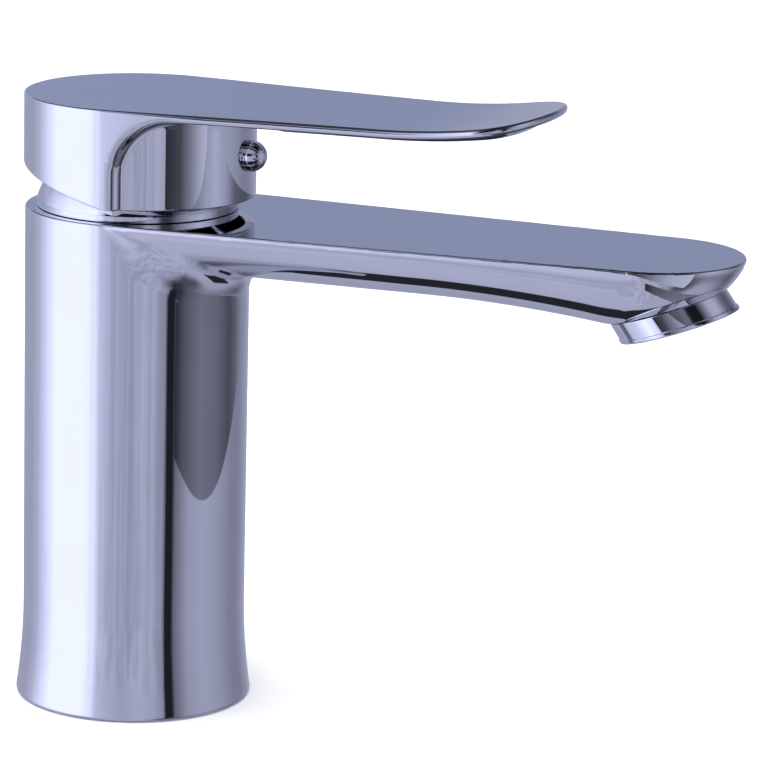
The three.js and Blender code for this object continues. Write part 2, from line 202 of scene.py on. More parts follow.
def slide_onto(formula, points, rounds=5):
    """Moves points along the gradient until the formula is zero."""
    for _ in range(rounds):
        slope = gradient(formula, points)
        steep = np.maximum((slope ** 2).sum(1), 0.05)
        move = -formula(*points.T) / steep
        points = points + slope * np.clip(move, -1, 1)[:, None]
    return points


def unit(vectors):
    return vectors / np.maximum(np.linalg.norm(vectors, axis=1), 1e-9)[:, None]


# %% Splitting faces where the surface bends
def split_bends(formula, points, triangles, degrees):
    """Splits the edges whose ends' normals differ by more than this angle."""
    normals = unit(gradient(formula, points))
    sides = np.sort(triangles[:, [[0, 1], [1, 2], [2, 0]]], axis=2)
    edges, where = np.unique(sides.reshape(-1, 2), axis=0, return_inverse=True)
    where = where.reshape(-1, 3)
    bent = (normals[edges[:, 0]] * normals[edges[:, 1]]).sum(1) < math.cos(math.radians(degrees))
    middle = np.full(len(edges), -1)
    middle[bent] = len(points) + np.arange(bent.sum())
    added = slide_onto(formula, points[edges[bent]].mean(1))
    points = np.concatenate([points, added])
    mids = middle[where]
    result = [triangles[(mids < 0).all(1)]]
    for turn in range(3):
        order = [turn, (turn + 1) % 3, (turn + 2) % 3]
        a, b, c = triangles[:, order].T
        ab, bc, ca = mids[:, order].T
        one = (ab >= 0) & (bc < 0) & (ca < 0)
        two = (ab >= 0) & (bc >= 0) & (ca < 0)
        result += [np.stack(t, 1)[one] for t in ((a, ab, c), (ab, b, c))]
        result += [np.stack(t, 1)[two] for t in ((ab, b, bc), (a, ab, bc), (a, bc, c))]
    every = (mids >= 0).all(1)
    a, b, c = triangles.T
    ab, bc, ca = mids.T
    result += [np.stack(t, 1)[every] for t in ((a, ab, ca), (ab, b, bc), (ca, bc, c), (ab, bc, ca))]
    return points, np.concatenate(result)


# %% Mesh objects
def mesh_object(name, points, faces, normals=None):
    """A smooth shaded object from points in millimetres."""
    mesh = bpy.data.meshes.new(name)
    mesh.from_pydata((np.asarray(points) * MM).tolist(), [], [list(f) for f in faces])
    mesh.update()
    mesh.polygons.foreach_set("use_smooth", [True] * len(mesh.polygons))
    if normals is not None:
        mesh.normals_split_custom_set_from_vertices(normals.tolist())
    piece = bpy.data.objects.new(name, mesh)
    bpy.context.scene.collection.objects.link(piece)
    return piece


def formula_object(name, formula, low, high, pitch, bends=(16, 16)):
    """The formula's solid between two corners, from a grid of this pitch, all in millimetres."""
    points, triangles = surface_net(formula, low, high, pitch)
    points = slide_onto(formula, points)
    for degrees in bends:
        points, triangles = split_bends(formula, points, triangles, degrees)
    normals = unit(gradient(formula, points))
    piece = mesh_object(name, points, triangles, normals)
    print(name, len(triangles), "triangles,", np.ptp(points, axis=0).round(2), "mm")
    return piece


# %% [markdown]
# ## The body
# A cast and plated body in one piece: an upright column on a flared foot, and a spout with a flat
# top and a rounded keel. Seen from above the spout is the outline of two circles, the column's
# and a smaller one at the nose, joined by straight flanks. The keel's section is half an ellipse.
# It gets deeper over the aerator, and at the nose it rises to the tip. Column and keel run
# together in a soft fillet, and one level plane cuts both, with a fine edge.

# %% Body sizes
COLUMN_R = 24.7
FOOT_R = 26.35
FLARE_HEIGHT = 22.0
BODY_TOP = 110.7
NOSE_X = 117.7
NOSE_R = 19.7
KEEL_DEPTH = 12.7
SWELL = 3.4
SWELL_MOST = 3.6
SWELL_X = 70
SWELL_LENGTH = 45
NOSE_RISE_X = 108.0
NOSE_POWER = 0.65
KEEL_FILLET = 7.0
FILLET_FULL_X = 12
FINE_EDGE = 0.45
FOOT_EDGE = 0.9
print("body", NOSE_X + NOSE_R + FOOT_R, "mm long,", BODY_TOP, "mm high")


# %% Column and keel
def column(x, y, z):
    """A round column that flares out softly towards its foot."""
    rise = np.clip(1 - z / FLARE_HEIGHT, 0, 1)
    return np.hypot(x, y) - COLUMN_R - (FOOT_R - COLUMN_R) * rise ** 2


def spout_outline(x, y):
    """Distance to the outline of two circles with straight flanks, seen from above."""
    lean = (COLUMN_R - NOSE_R) / NOSE_X
    across = math.sqrt(1 - lean ** 2)
    side = np.abs(y)
    along = across * x - lean * side
    flank = across * side + lean * x - COLUMN_R
    nose = np.hypot(x - NOSE_X, y) - NOSE_R
    return np.where(along > across * NOSE_X, nose, flank)


def keel_sizes(x):
    """Half width at the top, and depth at the middle, of the section at x."""
    swell = np.clip(SWELL * (np.maximum(x - SWELL_X, 0) / SWELL_LENGTH) ** 2, 0, SWELL_MOST)
    rise = np.clip((x - NOSE_RISE_X) / (NOSE_X + NOSE_R - NOSE_RISE_X), 0, 0.999)
    depth = (KEEL_DEPTH + swell) * (1 - rise ** 2) ** NOSE_POWER
    flank = COLUMN_R - (COLUMN_R - NOSE_R) * np.clip(x / NOSE_X, 0, 1)
    half = np.sqrt(np.maximum(flank ** 2 - np.maximum(x - NOSE_X, 0) ** 2, 0.5))
    return half, depth


def keel(x, y, z):
    """Half an ellipse across, with a round end behind the column's axis."""
    half, depth = keel_sizes(x)
    across = np.hypot(np.minimum(x, 0), y) / half
    below = np.minimum(z - BODY_TOP, 0) / depth
    return (np.sqrt(across ** 2 + below ** 2 + 1e-6) - 1) * half


keel_distance = distance(keel)


def keel_fillet(x, y, z):
    """Reach of the fillet: full where keel and column cross squarely, none where they run level."""
    half, depth = keel_sizes(x)
    across = y / half ** 2
    below = np.minimum(z - BODY_TOP, 0) / depth ** 2
    same = y / np.hypot(np.maximum(x, 0), y + 1e-6) * across / np.hypot(across, below + 1e-9)
    ahead = np.clip(x / FILLET_FULL_X, 0, 1)
    return KEEL_FILLET * (1 - same ** 2) * ahead * ahead * (3 - 2 * ahead) + 0.02


# %% Aerator seat
AERATOR_X = 124.4
AERATOR_Z = 95.9
AERATOR_TILT = math.radians(19.8)
AERATOR_LEAN = 0.29
AERATOR_R = 13.1
SEAT_GAP = 0.15
SEAT_DEPTH = 4.9
print("aerator mouth", round(2 * AERATOR_R, 1), "mm wide, at x", AERATOR_X, "z", AERATOR_Z)


def at_mouth(x, y, z):
    """Radius from the aerator's axis, and height above its mouth."""
    dx = x - AERATOR_X
    dz = z - AERATOR_Z
    height = -math.sin(AERATOR_TILT) * dx + math.cos(AERATOR_TILT) * dz
    across = math.cos(AERATOR_TILT) * dx + math.sin(AERATOR_TILT) * dz
    return np.hypot(across + AERATOR_LEAN * height, y), height


# %% The whole body
CARTRIDGE_HOLE_R = 20.9
CARTRIDGE_HOLE_BOTTOM = 104
FOOT_ROOM_R = 21.5
FOOT_ROOM_TOP = 56


def body(x, y, z):
    """Column and spout, with a hole for the cartridge, a room in the foot and the aerator's seat."""
    spout = np.maximum(keel_distance(x, y, z), spout_outline(x, y))
    solid = soft_union(column(x, y, z), spout, keel_fillet(x, y, z))
    solid = round_cut(solid, z - BODY_TOP, FINE_EDGE)
    solid = round_cut(solid, -z, FOOT_EDGE)
    solid = np.maximum(solid, -upright_hole(x, y, z, CARTRIDGE_HOLE_R, CARTRIDGE_HOLE_BOTTOM))
    room = np.maximum(np.hypot(x, y) - FOOT_ROOM_R, z - FOOT_ROOM_TOP)
    solid = np.maximum(solid, -room)
    radius, height = at_mouth(x, y, z)
    seat = np.maximum(radius - AERATOR_R - SEAT_GAP, height - SEAT_DEPTH)
    return round_cut(solid, -seat, SEAT_GAP)


tap_body = formula_object("tap_body", body, (-27, -27, 0), (138, 27, 111), pitch=1.0)
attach(tap_body, "base")
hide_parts("faucet_body")


# %% [markdown]
# ## The lever handle
# One casting: a round hub, and a thin plate that grows out of its top and reaches forward over
# the spout. Underneath, an arch runs from the side of the hub up to the plate, and behind it the
# hub is a plain cylinder. So the solid is everything inside the outline that is either in the
# hub's cylinder or not in the arched hollow. The plate's end curls up a little.

# %% Handle sizes
HUB_R = 25.5
HUB_X = 0.55
HUB_BOTTOM = 113.9
HUB_RELIEF = 0.25
HANDLE_TOP = 135.75
PLATE_THICKNESS = 1.8
PLATE_EDGE = 0.85
PLATE_BELLY = 1.5
BELLY_IN = 3
BELLY_RAMP = 7
BELLY_X = 25
BELLY_RAMP_X = 15
PLATE_END_X = 83.0
PLATE_END_HALF = 19.9
PLATE_END_LENGTH = 13.2
PLATE_END_POWER = 2.4
FLANK_SLOPE = -0.07
CURL_START_X = 62.0
CURL = 0.0033
ARCH_X = 5.3
ARCH_R = 12.5
ARCH_EDGE = 2.0
ARCH_EDGE_END_X = 20
ARCH_EDGE_RAMP = 12
RIM_START_X = 5
RIM_RAMP = 20
RELIEF_X = 3
RELIEF_STEEPNESS = 1.03
NECK_STEP = 2.2
NECK_FILLET = 1.5
HUB_EDGE = 0.35
print("handle", round(PLATE_END_X + PLATE_END_LENGTH + HUB_R - HUB_X, 2), "mm long,",
      round(HANDLE_TOP - HUB_BOTTOM, 2), "mm high at the hub")


# %% Handle outline
def plate_half_squared(x):
    """Half width of the plate, squared: from the hub's circle along a smooth curve to the end."""
    start_x = HUB_X - HUB_R * math.sin(math.atan(FLANK_SLOPE))
    start_half = HUB_R * math.cos(math.atan(FLANK_SLOPE))
    span = PLATE_END_X - start_x
    t = np.clip((x - start_x) / span, 0, 1)
    flank = start_half * (1 - 3 * t ** 2 + 2 * t ** 3)
    flank = flank + PLATE_END_HALF * (3 * t ** 2 - 2 * t ** 3)
    flank = flank + FLANK_SLOPE * span * (t - 2 * t ** 2 + t ** 3)
    past = np.maximum(x - PLATE_END_X, 0) / PLATE_END_LENGTH
    square = flank ** 2 * (1 - past ** PLATE_END_POWER)
    circle = HUB_R ** 2 - (x - HUB_X) ** 2
    return np.where(x < start_x, circle, square)


outline_distance = distance(lambda x, y, z: (y ** 2 - plate_half_squared(x)) / (2 * HUB_R) + 0 * z)


# %% The hub's hollow
HOLLOW_R = 23.2
HOLLOW_SQUEEZE = 1.06
HOLLOW_TOP = 130.8
POST_R = 7
SOCKET_HALF = 3.8
SOCKET_TOP = 130.3
PLUG_Z = 123.8
SCREW_HOLE_R = 3.3
SCREW_HOLE_X = 20


def hub_hollow(x, y, z):
    """The room in the hub round a post, the post's square socket, and the hole for the screw."""
    room = np.maximum(np.hypot(x - HUB_X, y * HOLLOW_SQUEEZE) - HOLLOW_R, z - HOLLOW_TOP)
    room = np.maximum(room, POST_R - np.hypot(x, y))
    socket = np.maximum(np.maximum(np.abs(x), np.abs(y)) - SOCKET_HALF, z - SOCKET_TOP)
    screw_hole = np.maximum(np.hypot(y, z - PLUG_Z) - SCREW_HOLE_R, SCREW_HOLE_X - x)
    return np.minimum(np.minimum(room, socket), screw_hole)


# %% The whole handle
def handle(x, y, z):
    """The outline, less the arched hollow, cut off at the top and at the bottom.

    Behind the middle the hub's bottom slopes up, so the lever has room there when it is lifted.
    """
    outline = outline_distance(x, y, z)
    top = HANDLE_TOP + CURL * np.maximum(x - CURL_START_X, 0) ** 2
    belly = np.clip((-outline - BELLY_IN) / BELLY_RAMP, 0, 1)
    forward = np.clip((x - BELLY_X) / BELLY_RAMP_X, 0, 1)
    belly = PLATE_BELLY * belly ** 2 * (3 - 2 * belly) * forward
    under = top - PLATE_THICKNESS - belly
    hollow = round_cut(ARCH_X - x, z - under, ARCH_R)
    neck = np.hypot(x - HUB_X - NECK_STEP, y) - HUB_R + NECK_STEP
    inner = soft_union(neck, -hollow, NECK_FILLET)
    fade = np.clip((ARCH_EDGE_END_X - x) / ARCH_EDGE_RAMP, 0, 1)
    edge = PLATE_EDGE + (ARCH_EDGE - PLATE_EDGE) * fade
    solid = round_cut(outline, inner, edge)
    rim = FINE_EDGE + (PLATE_EDGE - FINE_EDGE) * np.clip((x - RIM_START_X) / RIM_RAMP, 0, 1)
    solid = round_cut(solid, z - top, rim)
    relief = (HUB_BOTTOM + HUB_RELIEF * (RELIEF_X - x) - z) / RELIEF_STEEPNESS
    solid = round_cut(solid, np.maximum(HUB_BOTTOM - z, relief), HUB_EDGE)
    return np.maximum(solid, -hub_hollow(x, y, z))


lever = formula_object("lever", handle, (-26, -26, 113), (99, 26, 140), pitch=0.75,
                       bends=(14, 10, 8))
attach(lever, "lever")
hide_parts("lever_handle")

# %% [markdown]
# ## Turned pieces
# The bonnet, the aerator's housing and the small plug are turned, so each is a profile spun round
# an axis. A profile is a few corners, each with its own radius. The corner's arc carries exact
# normals, so a straight stretch stays straight in its reflections.

# %% Spin a rounded profile
def rounded_profile(corners, arc_steps=6):
    """Points and normals along corners of (radius from axis, height, corner radius)."""
    points, normals = [], []
    ring = [Vector(c[:2]) for c in corners]
    for i, corner in enumerate(ring):
        before = (corner - ring[i - 1]).normalized()
        after = (ring[(i + 1) % len(ring)] - corner).normalized()
        turn = math.atan2(before.cross(after), before.dot(after))
        cut = corners[i][2] * math.tan(abs(turn) / 2)
        start = corner - before * cut
        side = math.copysign(1, turn)
        centre = start + Vector((-before.y, before.x)) * corners[i][2] * side
        for step in range(arc_steps + 1):
            angle = turn * step / arc_steps
            heading = Matrix.Rotation(angle, 2) @ before
            outward = Vector((heading.y, -heading.x))
            points.append(centre + outward * corners[i][2] * side)
            normals.append(outward)
    return points, normals


def spun(name, corners, around=96, arc_steps=6):
    """A closed ring whose corners run anticlockwise, seen with the axis on the left."""
    points, normals = rounded_profile(corners, arc_steps)
    rows = len(points)
    all_points, all_normals, faces = [], [], []
    for j in range(around):
        cosine, sine = math.cos(2 * math.pi * j / around), math.sin(2 * math.pi * j / around)
        all_points += [(p.x * cosine, p.x * sine, p.y) for p in points]
        all_normals += [(n.x * cosine, n.x * sine, n.y) for n in normals]
        for i in range(rows):
            k, m = (i + 1) % rows, (j + 1) % around
            faces.append((j * rows + i, m * rows + i, m * rows + k, j * rows + k))
    print(name, len(faces), "faces")
    return mesh_object(name, all_points, faces, np.array(all_normals))


# %% [markdown]
# ### The bonnet
# A dome between body and handle covers the cartridge. The handle tips over it, so the dome is part
# of a sphere about the point that the handle turns on, and the gap stays the same at every tilt.

# %% Bonnet
PIVOT_Z = 104.7
BONNET_R = 22.2
BAND_TOP = BODY_TOP + 1.5
DOME_TOP = BODY_TOP + 6.8


def make_bonnet():
    """A skirt in the body's hole, a low band, the dome, and the hole in its top."""
    sphere = math.hypot(BONNET_R, BAND_TOP - PIVOT_Z)
    low = math.atan2(BAND_TOP - PIVOT_Z, BONNET_R)
    high = math.asin((DOME_TOP - PIVOT_Z) / sphere)
    apex = sphere / math.cos((high - low) / 2)
    middle = (high + low) / 2
    corners = [
        (18.8, BODY_TOP - 3.6, 0.1), (20.5, BODY_TOP - 3.6, 0.3), (20.5, BODY_TOP + 0.12, 0.01),
        (BONNET_R, BODY_TOP + 0.12, 0.12), (BONNET_R, BAND_TOP, 0.12),
        (apex * math.cos(middle), PIVOT_Z + apex * math.sin(middle), sphere),
        (sphere * math.cos(high), DOME_TOP, 0.01), (14.5, DOME_TOP, 0.4),
        (14.5, DOME_TOP - 1.5, 0.2), (17.6, DOME_TOP - 1.5, 0.2), (18.8, BAND_TOP, 0.3),
    ]
    return spun("bonnet", corners)


bonnet = make_bonnet()
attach(bonnet, "base")
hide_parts("bonnet_collar")


# %% [markdown]
# ### The plug
# A small domed plug in the front of the hub hides the handle's screw. It is spun upright like the
# others and then laid along X.

# %% Plug
PLUG_X = 26.65
PLUG_R = 3.4


def make_plug():
    corners = [(0.001, -3.5, 0.0001), (2.9, -3.5, 0.2), (2.9, -0.9, 0.1), (3.3, -0.9, 0.1),
               (3.3, -0.35, 0.1), (PLUG_R, -0.2, 0.1), (PLUG_R, PLUG_R, PLUG_R - 0.001),
               (0.001, PLUG_R, 0.0001)]
    piece = spun("plug", corners, 64, 12)
    place = Matrix.Translation((PLUG_X * MM, 0, PLUG_Z * MM))
    piece.data.transform(place @ Matrix.Rotation(math.pi / 2, 4, "Y"))
    return piece


plug = make_plug()
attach(plug, "lever")
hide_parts("index_plug")


# %% [markdown]
# ### The aerator's housing
# A thin ring screwed into the mouth of the spout. The mouth is tilted, and its ring leans back along
# with the bore, so the spun ring is sheared first and then tilted.

# %% Aerator housing
LEAN_BACK = Matrix.Identity(4)
LEAN_BACK[0][2] = -AERATOR_LEAN
MOUTH_PLACE = (Matrix.Translation((AERATOR_X * MM, 0, AERATOR_Z * MM))
               @ Matrix.Rotation(-AERATOR_TILT, 4, "Y") @ LEAN_BACK)


def make_housing():
    """A flanged ring, sheared and tilted to its place in the mouth."""
    corners = [(11.6, 0.25, 0.2), (12.5, 0, 0.15), (AERATOR_R, 0.0, 0.35), (AERATOR_R, 0.9, 0.05),
               (AERATOR_R - 0.25, 1.1, 0.1), (AERATOR_R - 0.3, 4.8, 0.1), (11.6, 4.8, 0.1)]
    piece = spun("aerator_ring", corners)
    piece.data.transform(MOUTH_PLACE)
    return piece


aerator_ring = make_housing()
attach(aerator_ring, "base")
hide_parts("aerator_housing")

# %% [markdown]
# ## Finishes
# Each finish is a small tree of shader nodes. The helper below keeps them short: it adds a node,
# sets or links its inputs, and returns the output that the next node needs. Patterns read Object
# coordinates, in metres, so scales are high: a scale of 1000 makes a feature of about 1 mm.

# %% Node helper
class Tree:
    """A node tree, with short ways to add a node. An input is given by its name, or as i0, i1 ..."""

    def __init__(self, node_tree):
        self.tree = node_tree

    def node(self, kind, output=0, settings=None, **inputs):
        made = self.tree.nodes.new(kind)
        for key, value in (settings or {}).items():
            setattr(made, key, value)
        for key, value in inputs.items():
            name = int(key[1:]) if key[1:].isdigit() else key.replace("_", " ")
            if isinstance(value, bpy.types.NodeSocket):
                self.tree.links.new(value, made.inputs[name])
            else:
                made.inputs[name].default_value = value
        return made.outputs[output]

    def math(self, operation, a, b=0.0, c=0.0):
        return self.node("ShaderNodeMath", settings={"operation": operation}, i0=a, i1=b, i2=c)

    def spread(self, value, low, high, to_low=0.0, to_high=1.0):
        return self.node("ShaderNodeMapRange", settings={"interpolation_type": "SMOOTHSTEP"},
                         i0=value, i1=low, i2=high, i3=to_low, i4=to_high)

    def mix(self, share, a, b):
        return self.node("ShaderNodeMix", 2, {"data_type": "RGBA"}, i0=share, i6=a, i7=b)

    def times(self, share, a, b):
        settings = {"data_type": "RGBA", "blend_type": "MULTIPLY"}
        return self.node("ShaderNodeMix", 2, settings, i0=share, i6=a, i7=b)

    def noise(self, vector, scale, detail=2.0, distortion=0.0):
        return self.node("ShaderNodeTexNoise", Vector=vector, Scale=scale, Detail=detail,
                         Distortion=distortion)


def shading(owner):
    """The node tree of a material or world."""
    owner.use_nodes = True
    return Tree(owner.node_tree)


def finish(name):
    """A new material, its tree, its Principled shader and its Object coordinates."""
    material = bpy.data.materials.new(name)
    tree = shading(material)
    shader = tree.tree.nodes["Principled BSDF"]
    place = tree.node("ShaderNodeTexCoord", 3)
    return material, tree, shader, place


def sockets(shader, **values):
    """Sets the shader's own sockets, for what is the same all over the surface."""
    for key, value in values.items():
        shader.inputs[key.replace("_", " ")].default_value = value


# %% [markdown]
# ### Chrome plate
# Bright chrome over polished brass. It is a mirror with a faint cold tint. What makes it real is
# small: the polishing left very low, broad waves that bend the edges of reflections, and there is
# a thin haze of water marks that changes the roughness, not the colour.

# %% Chrome
CHROME_COLOR = (0.80, 0.81, 0.84, 1)
CHROME_COLOR_WARM = (0.78, 0.785, 0.80, 1)


def chrome_finish():
    """A mirror with low waves in it, and water marks that only change its gloss."""
    material, tree, shader, place = finish("chrome_plate")
    sockets(shader, Metallic=1.0)
    haze = tree.noise(place, 60, 3)
    marks = tree.spread(tree.noise(place, 240, 4, 0.6), 0.56, 0.72)
    rough = tree.math("MULTIPLY_ADD", haze, 0.03, 0.012)
    rough = tree.math("MULTIPLY_ADD", marks, 0.012, rough)
    tree.tree.links.new(rough, shader.inputs["Roughness"])
    tint = tree.mix(tree.spread(haze, 0.3, 0.7), CHROME_COLOR, CHROME_COLOR_WARM)
    tree.tree.links.new(tint, shader.inputs["Base Color"])
    waves = tree.noise(place, 55, 1)
    bump = tree.node("ShaderNodeBump", Strength=0.06, Distance=0.0005, Height=waves)
    tree.tree.links.new(bump, shader.inputs["Normal"])
    return material


chrome = chrome_finish()
for piece in (tap_body, lever, bonnet, plug, aerator_ring):
    piece.data.materials.append(chrome)
    print(chrome.name, "on", piece.name)

# %% [markdown]
# ### Metals that aren't plated
# Brass and steel inside the tap are turned on a lathe, so the tool leaves fine rings round the
# upright axis. Noise that is stretched sideways gives rings of uneven depth. A second, cloudy
# noise moves the colour between fresh and slightly tarnished metal.

# %% Turned metals
def turned_metal(name, fresh, tarnished, rough):
    """Lathe rings in gloss and relief, and clouds of tarnish in the colour."""
    material, tree, shader, place = finish(name)
    sockets(shader, Metallic=1.0)
    clouds = tree.noise(place, 130, 4, 0.4)
    tint = tree.mix(tree.spread(clouds, 0.35, 0.7), fresh, tarnished)
    tree.tree.links.new(tint, shader.inputs["Base Color"])
    stretched = tree.node("ShaderNodeMapping", Vector=place, Scale=(60, 60, 5200))
    rings = tree.noise(stretched, 1.0, 2)
    gloss = tree.math("MULTIPLY_ADD", rings, 0.16, rough)
    gloss = tree.math("MULTIPLY_ADD", clouds, 0.08, gloss)
    tree.tree.links.new(gloss, shader.inputs["Roughness"])
    bump = tree.node("ShaderNodeBump", Strength=0.35, Distance=0.00005, Height=rings)
    tree.tree.links.new(bump, shader.inputs["Normal"])
    return material


# %% [markdown]
# ### Rubber, plastic and ceramic
# Rubber seals are matt, with a fine dust that makes parts of them greyer. Moulded plastic keeps a
# spark-eroded grain from its mould and a broad unevenness in its gloss. The ceramic discs are
# lapped flat: they are smooth, with small specks in the body and hardly any relief.

# %% Rubber
def rubber_finish():
    """Matt and nearly black, with dust that is greyer and duller."""
    material, tree, shader, place = finish("black_rubber")
    dust = tree.spread(tree.noise(place, 320, 5, 0.5), 0.5, 0.78)
    tint = tree.mix(dust, (0.016, 0.016, 0.017, 1), (0.055, 0.054, 0.052, 1))
    tree.tree.links.new(tint, shader.inputs["Base Color"])
    gloss = tree.math("MULTIPLY_ADD", dust, 0.25, 0.5)
    tree.tree.links.new(gloss, shader.inputs["Roughness"])
    grain = tree.noise(place, 2600, 3)
    bump = tree.node("ShaderNodeBump", Strength=0.3, Distance=0.00004, Height=grain)
    tree.tree.links.new(bump, shader.inputs["Normal"])
    return material


# %% Moulded plastic
def moulded_plastic(name, light, shade):
    """A fine grain from the mould over slow changes of tint and gloss."""
    material, tree, shader, place = finish(name)
    sockets(shader, Specular_IOR_Level=0.45)
    flow = tree.noise(place, 90, 3, 1.2)
    tint = tree.mix(tree.spread(flow, 0.3, 0.7), light, shade)
    tree.tree.links.new(tint, shader.inputs["Base Color"])
    gloss = tree.math("MULTIPLY_ADD", flow, 0.22, 0.28)
    tree.tree.links.new(gloss, shader.inputs["Roughness"])
    grain = tree.node("ShaderNodeTexVoronoi", Vector=place, Scale=3400)
    bump = tree.node("ShaderNodeBump", Strength=0.2, Distance=0.00003, Height=grain)
    tree.tree.links.new(bump, shader.inputs["Normal"])
    return material


# %% Ceramic
def ceramic_finish():
    """Smooth and pale, with darker specks."""
    material, tree, shader, place = finish("lapped_ceramic")
    specks = tree.spread(tree.noise(place, 2200, 2), 0.62, 0.7)
    tint = tree.mix(specks, (0.72, 0.70, 0.66, 1), (0.42, 0.40, 0.38, 1))
    tree.tree.links.new(tint, shader.inputs["Base Color"])
    gloss = tree.math("MULTIPLY_ADD", tree.noise(place, 500, 3), 0.14, 0.07)
    tree.tree.links.new(gloss, shader.inputs["Roughness"])
    bump = tree.node("ShaderNodeBump", Strength=0.08, Distance=0.00002, Height=specks)
    tree.tree.links.new(bump, shader.inputs["Normal"])
    return material


# %% [markdown]
# ### Which node gets which finish
# The inner pieces keep their CAD meshes and only get a better material in place of the plain one.

# %% Finishes for the CAD nodes
rubber = rubber_finish()
white_plastic = moulded_plastic("white_plastic_moulded", (0.78, 0.78, 0.76, 1), (0.70, 0.70, 0.67, 1))
grey_plastic = moulded_plastic("grey_plastic_moulded", (0.20, 0.21, 0.22, 1), (0.14, 0.145, 0.15, 1))
ceramic = ceramic_finish()
brass = turned_metal("turned_brass", (0.76, 0.56, 0.26, 1), (0.52, 0.36, 0.16, 1), 0.2)
steel = turned_metal("turned_steel", (0.62, 0.62, 0.63, 1), (0.46, 0.46, 0.48, 1), 0.18)
NODE_FINISHES = [
    (rubber, ["base_gasket", "bonnet_seal", "inlet_seal_left", "inlet_seal_right", "outlet_seal",
              "aerator_washer"]),
    (white_plastic, ["base_insert", "thrust_washer", "disc_driver", "spindle_rotor"]),
    (grey_plastic, ["cartridge_housing", "cartridge_base"]),
    (ceramic, ["fixed_disc", "moving_disc"]),
    (brass, ["cartridge_nut", "cartridge_stem"]),
    (steel, ["stem_pivot_pin", "handle_set_screw", "aerator_strainer"]),
]
for material, names in NODE_FINISHES:
    for name in names:
        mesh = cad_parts[name].data
        mesh.materials.clear()
        mesh.materials.append(material)
    print(material.name, "on", len(names), "nodes")

# %% [markdown]
# ## The aerator's cells
# The jet leaves the aerator through a honeycomb. Geometry Nodes build it: a grid of points, every
# second row moved by half a cell, cut to a round field, with a six sided ring on each point and a
# plain rim round them all. A ring is as wide as a cell, so neighbours share the wall between them.
# The sizes are the tree's inputs, in metres. The result is a plain mesh, leant and tilted with the
# mouth like the CAD insert that it stands for.

# %% Honeycomb tree
def honeycomb_tree(material):
    """The Geometry Nodes tree, which takes the four sizes and gives cells and rim."""
    made = bpy.data.node_groups.new("honeycomb", "GeometryNodeTree")
    tree = Tree(made)
    made.interface.new_socket("Geometry", in_out="OUTPUT", socket_type="NodeSocketGeometry")
    for name in ("Cell", "Wall", "Depth", "Radius"):
        made.interface.new_socket(name, in_out="INPUT", socket_type="NodeSocketFloat")
    cell, wall, depth, radius = tree.node("NodeGroupInput").node.outputs[:4]
    ROWS = 15
    row = tree.math("MULTIPLY", cell, math.sqrt(3) / 2)
    field = tree.node("GeometryNodeMeshGrid", i0=tree.math("MULTIPLY", cell, ROWS - 1.0),
                      i1=tree.math("MULTIPLY", row, ROWS - 1.0), i2=ROWS, i3=ROWS)
    spot = tree.node("GeometryNodeInputPosition")
    y = tree.node("ShaderNodeSeparateXYZ", 1, Vector=spot)
    number = tree.math("ROUND", tree.math("DIVIDE", y, row))
    odd = tree.math("ABSOLUTE", tree.math("MODULO", number, 2.0))
    half_cell = tree.math("MULTIPLY", cell, 0.5)
    shift = tree.node("ShaderNodeCombineXYZ", X=tree.math("MULTIPLY", odd, half_cell))
    field = tree.node("GeometryNodeSetPosition", Geometry=field, Offset=shift)
    away = tree.node("ShaderNodeVectorMath", 1, {"operation": "LENGTH"}, i0=spot)
    reach = tree.math("SUBTRACT", radius, tree.math("MULTIPLY", cell, 0.62))
    field = tree.node("GeometryNodeDeleteGeometry", Geometry=field,
                      Selection=tree.math("GREATER_THAN", away, reach))
    section = tree.node("GeometryNodeCurvePrimitiveQuadrilateral", Width=wall, Height=depth)
    hexagon = tree.node("GeometryNodeCurvePrimitiveCircle", Resolution=6,
                        Radius=tree.math("MULTIPLY", cell, 1 / math.sqrt(3)))
    hexagon = tree.node("GeometryNodeTransform", Geometry=hexagon, Rotation=(0, 0, math.pi / 6))
    tube = tree.node("GeometryNodeCurveToMesh", i0=hexagon, i1=section)
    cells = tree.node("GeometryNodeInstanceOnPoints", Points=field, Instance=tube)
    rim_wall = tree.math("MULTIPLY", wall, 2.0)
    rim_radius = tree.math("SUBTRACT", radius, tree.math("MULTIPLY", rim_wall, 0.5))
    rim_path = tree.node("GeometryNodeCurvePrimitiveCircle", Resolution=96, Radius=rim_radius)
    rim_section = tree.node("GeometryNodeCurvePrimitiveQuadrilateral", Width=rim_wall, Height=depth)
    rim = tree.node("GeometryNodeCurveToMesh", i0=rim_path, i1=rim_section)
    join = tree.node("GeometryNodeJoinGeometry", Geometry=cells).node
    made.links.new(rim, join.inputs[0])
    whole = tree.node("GeometryNodeRealizeInstances", Geometry=join.outputs[0])
    whole = tree.node("GeometryNodeSetMaterial", Geometry=whole, Material=material)
    made.links.new(whole, made.nodes.new("NodeGroupOutput").inputs[0])
    return made


# %% Honeycomb
CELL_SIZES = {"Cell": 0.0019, "Wall": 0.00045, "Depth": 0.0042, "Radius": 0.0102}
CELLS_UP = 0.0041


